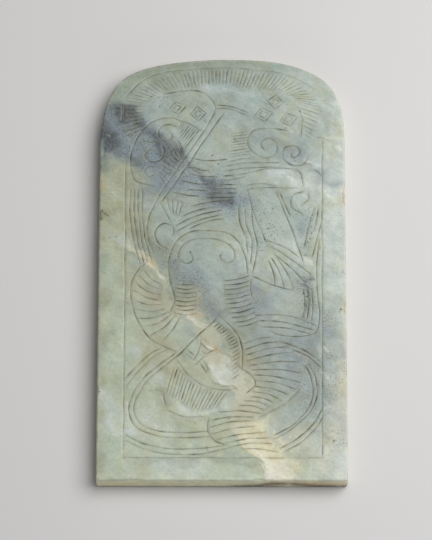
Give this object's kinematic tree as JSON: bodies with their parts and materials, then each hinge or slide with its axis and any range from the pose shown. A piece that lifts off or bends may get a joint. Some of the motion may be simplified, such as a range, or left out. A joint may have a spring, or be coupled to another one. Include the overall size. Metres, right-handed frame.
{
  "type": "amulet",
  "caption": "Flat arched jade tablet amulet with an incised design of paired beast heads, curls, ribs and feathers inside a thin border line.",
  "frame": {"origin": "middle of the tablet's box, on the plane of its flat back", "axes": "+X to the right of the carved face, +Y from the straight lower edge to the arched top, +Z out of the carved face"},
  "size_m": [0.072, 0.132, 0.006],
  "materials": {
    "jade": "waxy polished grey-green nephrite with darker blue-grey clouds, pale veins and brown dirt in the lines"
  },
  "bodies": {
    "root": {"tablet": "jade"}
  },
  "joints": []
}
